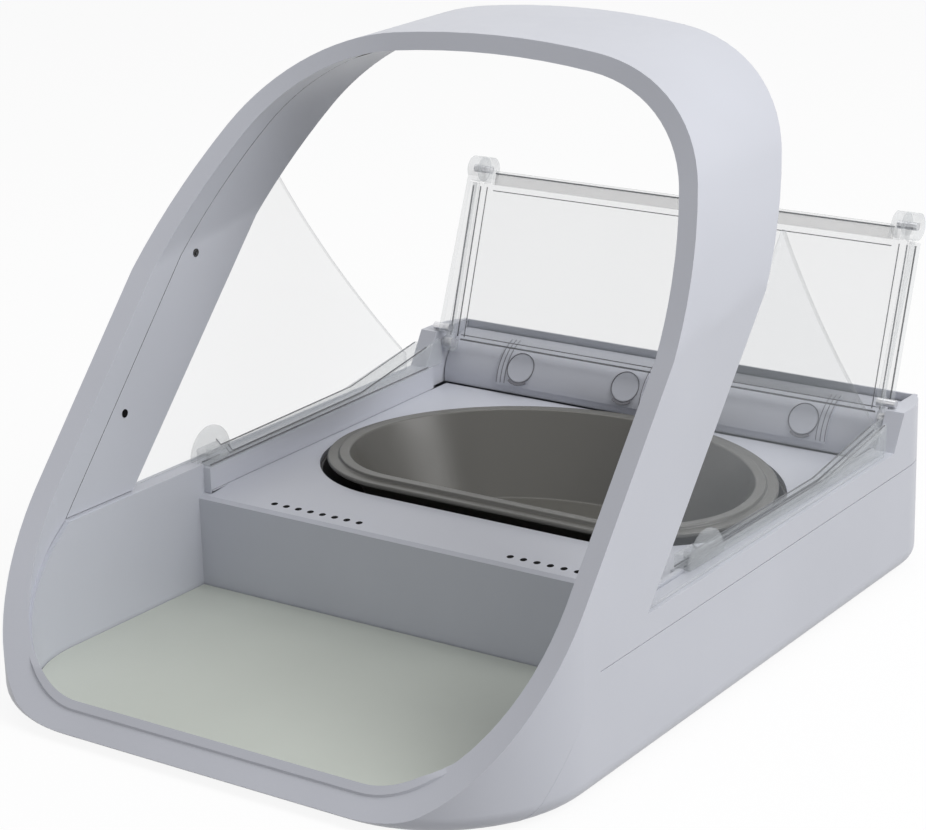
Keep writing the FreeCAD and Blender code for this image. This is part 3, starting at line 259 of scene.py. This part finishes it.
def make_materials():
    """One finished material for each slot of the record."""
    made = {
        "white_shell": moulded("white_shell", WHITE, 0.36),
        "gear_plastic": moulded("gear_plastic", (0.74, 0.72, 0.62), 0.42),
        "dark_lens": moulded("dark_lens", (0.004, 0.004, 0.005), 0.12),
        "clear_plastic": clear("clear_plastic", (0.7, 0.73, 0.75), 0.13, 0.6),
        # painted shade: dark lines on the clear plastic's ribs, edges and groove stand in for the dark refraction and
        # shade there
        "painted_edge_shade": clear("painted_edge_shade", (0.17, 0.175, 0.19), 0.62, 0.95),
        # painted highlight: the pale strip on the lid's top edge stands in for light caught along that clear edge
        "painted_edge_highlight": clear("painted_edge_highlight", (0.9, 0.88, 0.86), 0.25, 0.45),
        "clear_sheet": clear("clear_sheet", (0.56, 0.6, 0.64), 0.05, 0.13),
        "seam_line": moulded("seam_line", (0.2, 0.2, 0.22), 0.5),
        # painted shade: near-black for the vent holes' walls and the liner's front edge and underside, where shade
        # falls
        "painted_recess_shade": moulded("painted_recess_shade", (0.012, 0.012, 0.013), 0.6),
        "dark_well": moulded("dark_well", (0.045, 0.043, 0.04), 0.4),
        "bowl_grey": moulded("bowl_grey", (0.118, 0.115, 0.104), 0.3),
        "mat_silicone": moulded("mat_silicone", (0.54, 0.57, 0.52), 0.62, grain=3600, depth=0.00006),
        "rubber": moulded("rubber", (0.1, 0.1, 0.105), 0.75, grain=3000, depth=0.00005),
        "button_grey": moulded("button_grey", (0.2, 0.205, 0.225), 0.45),
        "cell_can": moulded("cell_can", (0.06, 0.07, 0.085), 0.35),
        "board": moulded("board", (0.02, 0.12, 0.05), 0.4, grain=900),
        "steel": metal("steel", (0.74, 0.74, 0.76), 0.3),
        "copper_coil": metal("copper_coil", (0.72, 0.36, 0.18), 0.35),
    }
    return {name: nodes.material for name, nodes in made.items()}


# ---------------------------------------------------------------- pieces from the frame's shapes
SLOT_OF = {entry["node"]: entry["material_slot"] for entry in frame["record"]["subparts"]}
BODY_OF = {node: body for body, nodes in frame["record"]["behaviour"]["bodies"].items() for node in nodes}


def smooth_by_angle(mesh, degrees):
    """Smooth shading except over sharp edges."""
    for polygon in mesh.polygons:
        polygon.use_smooth = True
    mesh.set_sharp_from_angle(angle=math.radians(degrees))


BAND_DROP = 2.3 * MM


def on_front(point):
    """Whether a point is on the hoop's slanted front face."""
    return abs(point.y - (-0.159 + 0.858 * (point.z - 0.0015))) < 0.00004


def chamfer_band(work):
    """Set the inner edge of the hoop's front band back, so that the band slopes inwards."""
    work.normal_update()
    middle = Vector((0, 0.858 * 0.1035 - 0.159, 0.105))
    inner = []
    for vertex in work.verts:
        if on_front(vertex.co):
            inward = middle - vertex.co
            inward.normalize()
            if any(face.normal.dot(inward) > 0.35 for face in vertex.link_faces):
                inner.append(vertex)
    for vertex in inner:
        vertex.co.y += BAND_DROP


def raise_rim(work):
    """The bowl's rim stands a little prouder than its collision shape."""
    for vertex in work.verts:
        vertex.co.z += 1.3 * MM * min(1, max(0, (vertex.co.z - 0.02) / 0.02))


def close_skirt(work):
    """Run the base's walls up to the hoop's foot, so that no joint shows between them."""
    for vertex in work.verts:
        if abs(skirt_depth(vertex.co) - 30.3 * MM) < 0.05 * MM:
            vertex.co.y -= 0.28 * MM


def skirt_depth(point):
    """How far a point is behind the hoop's slanted front face, along Y."""
    return point.y - (-0.159 + 0.858 * (point.z - 0.0015))


def softened(node, width, segments=3, angle=32, shape=None):
    """A copy of a CAD node's shape with its sharp edges rounded over."""
    source = frame["nodes"][node]
    work = bmesh.new()
    work.from_mesh(source.data)
    bmesh.ops.remove_doubles(work, verts=work.verts, dist=0.000005)
    front = set()
    if shape is chamfer_band:
        front = {vertex for vertex in work.verts if on_front(vertex.co)}
    if shape is not None:
        shape(work)
    verts = [vertex for vertex in work.verts if vertex not in front]
    edges = [edge for edge in work.edges if not (edge.verts[0] in front and edge.verts[1] in front)]
    bmesh.ops.dissolve_limit(work, angle_limit=math.radians(0.4), verts=verts, edges=edges)
    weight = work.edges.layers.float.new("bevel_weight_edge")
    for edge in work.edges:
        sharp = len(edge.link_faces) == 2 and edge.calc_face_angle(0) > math.radians(angle)
        in_joint = all(abs(skirt_depth(vertex.co) - 30 * MM) < 0.5 * MM and vertex.co.z < 0.0435
                       for vertex in edge.verts)
        edge[weight] = 1.0 if sharp and not in_joint else 0.0
    mesh = bpy.data.meshes.new(node + "_soft")
    work.to_mesh(mesh)
    work.free()
    piece = bpy.data.objects.new(node + "_soft", mesh)
    bpy.context.scene.collection.objects.link(piece)
    bevel = piece.modifiers.new("Bevel", "BEVEL")
    bevel.width = width
    bevel.segments = segments
    bevel.limit_method = "WEIGHT"
    bevel.use_clamp_overlap = True
    apply_modifiers(piece)
    smooth_by_angle(piece.data, 34)
    piece.modifiers.new("Weighted", "WEIGHTED_NORMAL").keep_sharp = True
    apply_modifiers(piece)
    finish_piece(piece, node)
    return piece


def new_piece(name, work, width, material, body):
    """A finished piece from a bmesh, with its edges rounded over."""
    bmesh.ops.recalc_face_normals(work, faces=work.faces)
    mesh = bpy.data.meshes.new(name)
    work.to_mesh(mesh)
    work.free()
    piece = bpy.data.objects.new(name, mesh)
    bpy.context.scene.collection.objects.link(piece)
    bevel = piece.modifiers.new("Bevel", "BEVEL")
    bevel.width = width
    bevel.segments = 2
    apply_modifiers(piece)
    smooth_by_angle(piece.data, 34)
    piece.data.materials.append(MATERIALS[material])
    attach(piece, body)
    return piece


def prism(work, outline, x_low, x_high):
    """Add a prism across the feeder from (y, z) points."""
    near = [work.verts.new((x_low, y, z)) for y, z in outline]
    far = [work.verts.new((x_high, y, z)) for y, z in outline]
    work.faces.new(near)
    work.faces.new(list(reversed(far)))
    for index in range(len(outline)):
        after = (index + 1) % len(outline)
        work.faces.new((near[index], far[index], far[after], near[after]))


def second_material(piece, name, chosen):
    """Give the faces that a test picks another material."""
    piece.data.materials.append(MATERIALS[name])
    for polygon in piece.data.polygons:
        if chosen(polygon):
            polygon.material_index = 1


def broad(normal, area):
    """A test for a sheet's broad faces: large, and square to a direction."""
    def chosen(polygon):
        return abs(polygon.normal.dot(normal)) > 0.985 and polygon.area > area
    return chosen


def in_a_vent(polygon):
    """Whether a face is the wall of one of the deck's vent holes."""
    centre = polygon.center
    across = abs(centre.x)
    near = min(abs(across - (33.1 + 5.6 * number) * MM) for number in range(8))
    return (near < 1.32 * MM and abs(centre.y + 22.5 * MM) < 1.32 * MM and centre.z > 0.035
            and abs(polygon.normal.z) < 0.5)


def apply_modifiers(piece):
    """Turn a piece's modifiers into plain mesh."""
    graph = bpy.context.evaluated_depsgraph_get()
    mesh = bpy.data.meshes.new_from_object(piece.evaluated_get(graph))
    piece.modifiers.clear()
    piece.data = mesh


def finish_piece(piece, *nodes):
    """Let a piece stand for CAD nodes: same body, slot and finish."""
    node = nodes[0]
    piece.data.materials.clear()
    piece.data.materials.append(MATERIALS[SLOT_OF[node]])
    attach(piece, BODY_OF[node])
    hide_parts(*nodes)


scene = bpy.context.scene
scene.view_settings.view_transform = "Standard"
add_camera()
add_lamp("Key", (1.25, 0.15, 1.25), (0, 0, 0.05), 1.0, 19)
add_lamp("Top", (-0.2, 0.3, 1.6), (0, 0, 0), 1.2, 5.5)
white_world(0.34)
add_floor()
MATERIALS = make_materials()

for node, thing in frame["nodes"].items():
    thing.data.materials.clear()
    thing.data.materials.append(MATERIALS[SLOT_OF[node]])

softened("upper_shell", 0.7 * MM, shape=chamfer_band)
softened("bowl", 0.6 * MM, shape=raise_rim)
softened("base_shell", 0.8 * MM, shape=close_skirt)
liner = softened("hoop_liner", 0.08 * MM)
# Painted shade: the liner's front-facing and downward faces go near-black.
second_material(liner, "painted_recess_shade", lambda face: face.normal.y < -0.6 or face.normal.z < -0.9)
tray = softened("inner_tray", 0.7 * MM)
# Painted shade: the walls of the deck's vent holes go near-black.
second_material(tray, "painted_recess_shade", in_a_vent)
SOFT_EDGES = {"rear_bar": 0.5, "feeding_mat": 0.5,
              "left_bar_cover": 0.35, "right_bar_cover": 0.35, "screw_plugs": 0.5,
              "left_track": 0.35, "right_track": 0.35, "bowl_well": 0.4}
for node, width in SOFT_EDGES.items():
    softened(node, width * MM)

LEAN = math.radians(71.8)
FOLDED = LEAN - math.radians(3.6)
SHEETS = {"lid_rear_panel": Vector((0, -math.sin(LEAN), math.cos(LEAN))),
          "lid_front_panel": Vector((0, -math.sin(FOLDED), math.cos(FOLDED))),
          "left_shield": Vector((1, 0, 0)), "right_shield": Vector((1, 0, 0))}
for node, normal in SHEETS.items():
    second_material(softened(node, 0.4 * MM), "clear_sheet", broad(normal, 0.0004))



def on_panel(reach, off):
    """A point of the open rear panel's side view: its reach from the hinge and its distance off the panel."""
    return (0.131 + reach * math.cos(LEAN) - off * math.sin(LEAN),
            0.0602 + reach * math.sin(LEAN) + off * math.cos(LEAN))


def panel_bars(name, bars, off, material):
    """Thin raised bars on the rear panel, each (low x, high x, low reach, high reach) in millimetres."""
    work = bmesh.new()
    for x_low, x_high, low, high in bars:
        outline = [on_panel(reach * MM, depth * MM) for reach, depth in
                   ((low, off[0]), (high, off[0]), (high, off[1]), (low, off[1]))]
        prism(work, outline, x_low * MM, x_high * MM)
    return new_piece(name, work, 0.08 * MM, material, "rear_lid")


# The strip's pale colour is a painted highlight along the lid's top edge.
panel_bars("lid_top_strip", [(-90.3, 90.3, 66.8, 71.8)], (-1.19, -0.9), "painted_edge_highlight")
# The frame bars are ribs and edges of the clear lid; their dark colour is painted shade standing in for the
# refraction in them.
FRAME_BARS = [(-95, 95, 1.6, 2.3), (-95, 95, 3.6, 4.0), (-90.3, 90.3, 64.2, 64.6), (-90.3, 90.3, 71.2, 71.8)]
for place, thick in ((93.2, 0.35), (96.4, 0.5), (99.9, 0.6)):
    FRAME_BARS += [(place, place + thick, 3, 65.5), (-place - thick, -place, 3, 65.5)]
panel_bars("lid_frame_lines", FRAME_BARS, (-0.89, -0.5), "painted_edge_shade")


def rail_trim(label, side):
    """The rail's edge and groove lines, whose dark colour is painted shade for the refraction at the clear edges and
    the shade in the hollow, and the round tab that stands at its front end.
    """
    work = bmesh.new()
    crest = ((-13, 57.3), (-10.6, 54.3), (72, 54.6), (106, 59.8), (116.5, 61.4))
    foot = ((-24.4, 52.6), (117, 52.6))
    hollow = ((-24.4, 53.1), (-14, 53.1))
    for x, points in ((100.9, crest), (102.4, tuple((y, z - 1.1) for y, z in crest)), (104.6, hollow), (106.7, tuple((y, z + 1.3) for y, z in crest)), (100.7, foot)):
        for (y0, z0), (y1, z1) in zip(points, points[1:]):
            outline = [(y0 * MM, z0 * MM), (y1 * MM, z1 * MM), (y1 * MM, (z1 + 0.4) * MM), (y0 * MM, (z0 + 0.4) * MM)]
            prism(work, outline, *sorted((side * x * MM, side * (x + 0.45) * MM)))
    new_piece(label + "_rail_lines", work, 0.06 * MM, "painted_edge_shade", "housing")
    work = bmesh.new()
    round_top = [(math.cos(math.radians(a)) * 11.5 - 15.5, math.sin(math.radians(a)) * 11.5 + 53.2)
                 for a in range(0, 181, 12)]
    prism(work, [(y * MM, z * MM) for y, z in round_top], *sorted((side * 107.5 * MM, side * 108.5 * MM)))
    new_piece(label + "_rail_tab", work, 0.2 * MM, "clear_plastic", "housing")


for label, side in (("left", -1), ("right", 1)):
    rail_trim(label, side)


def around_bar(work, x_low, x_high, radius, start, end):
    """A thin band round the rear bar between two angles."""
    turns = [math.radians(start + (end - start) * step / 14) for step in range(15)]
    ring = [(0.148 + (radius + grow) * MM * math.cos(a), 0.044 + (radius + grow) * MM * math.sin(a))
            for grow, order in ((0.0, turns), (0.14, list(reversed(turns)))) for a in order]
    prism(work, ring, x_low * MM, x_high * MM)


def plug_ring(work, x, radius, start, end, width):
    """A thin line round a screw plug, lying on the face it stands square to."""
    aim = Vector((0, math.cos(math.radians(148)), math.sin(math.radians(148))))
    across = Vector((1, 0, 0))
    above = aim.cross(across) * -1
    centre = Vector((x * MM, 0.148, 0.044)) + aim * 19.24 * MM
    rows = []
    for step in range(33):
        turn = math.radians(start + (end - start) * step / 32)
        way = across * math.cos(turn) + above * math.sin(turn)
        rows.append([work.verts.new(centre + way * (radius + out) * MM + aim * lift * MM)
                     for out, lift in ((0, -0.4), (0, 0.06), (width, 0.06), (width, -0.4))])
    for before, after in zip(rows, rows[1:]):
        for index in range(4):
            following = (index + 1) % 4
            work.faces.new((before[index], before[following], after[following], after[index]))


trim = bmesh.new()
for side in (-1, 1):
    for x in (7.0, 71.5, 73.4, 75.3):
        around_bar(trim, *sorted((side * x, side * (x + 0.3))), 19.0, 108, 170)
for x in (-65, -15, 15, 65):
    plug_ring(trim, x, 6.15, 0, 360, 0.22)
    plug_ring(trim, x, 6.6, 55, 125, 0.9)
new_piece("bar_trim_lines", trim, 0.02 * MM, "seam_line", "housing")

seal = bmesh.new()
for side in (-1, 1):
    prism(seal, [(-0.0246, 0.0425), (0.1176, 0.0425), (0.1176, 0.0429), (-0.0246, 0.0429)],
          *sorted((side * 0.1001, side * 0.1006)))
    prism(seal, [(-0.0256, 0.042), (-0.0252, 0.042), (-0.0252, 0.0518), (-0.0256, 0.0518)],
          *sorted((side * 0.1001, side * 0.1066)))
new_piece("deck_seal", seal, 0.05 * MM, "white_shell", "housing")

lip = bmesh.new()
prism(lip, [(0.1487, 0.0615), (0.1496, 0.0615), (0.1496, 0.0652), (0.1487, 0.0652)], -0.1024, 0.1024)
new_piece("rear_top_lip", lip, 0.2 * MM, "white_shell", "housing")
